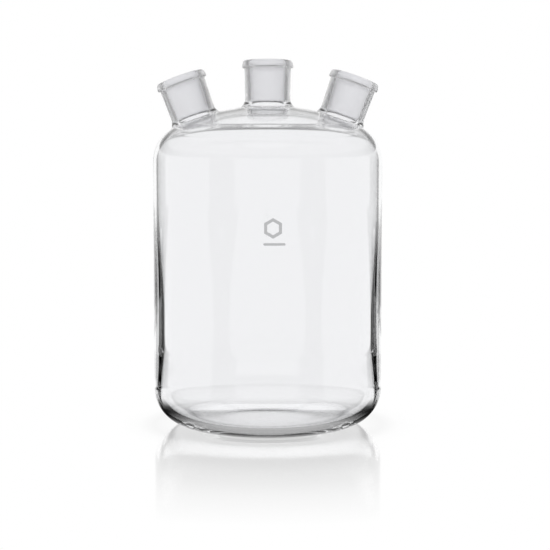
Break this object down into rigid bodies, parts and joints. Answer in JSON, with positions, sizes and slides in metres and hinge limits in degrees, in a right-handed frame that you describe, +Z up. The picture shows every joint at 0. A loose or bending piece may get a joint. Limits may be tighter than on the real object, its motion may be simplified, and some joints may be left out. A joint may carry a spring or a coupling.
{
  "type": "three neck flat bottom bottle",
  "caption": "Cylindrical flat-bottomed glass laboratory bottle with a domed shoulder, an upright ground joint neck and an outward-leaning neck on each side.",
  "frame": {"origin": "centre of the base, on the plane that the bottle stands on", "axes": "+Z up along the bottle's axis, X along the plane of the three necks, -Y towards the front with the print"},
  "size_m": [0.182, 0.182, 0.29],
  "materials": {
    "clear_glass": "clear polished borosilicate glass",
    "ground_glass": "glass tube with a white ground bore",
    "print": "fired-on grey enamel print"
  },
  "bodies": {
    "root": {"bottle_base": "clear_glass", "bottle_wall": "clear_glass", "bottle_shoulder": "clear_glass", "centre_neck_collar": "clear_glass", "centre_ground_socket": "ground_glass", "left_neck_collar": "clear_glass", "left_ground_socket": "ground_glass", "right_neck_collar": "clear_glass", "right_ground_socket": "ground_glass"}
  },
  "joints": []
}
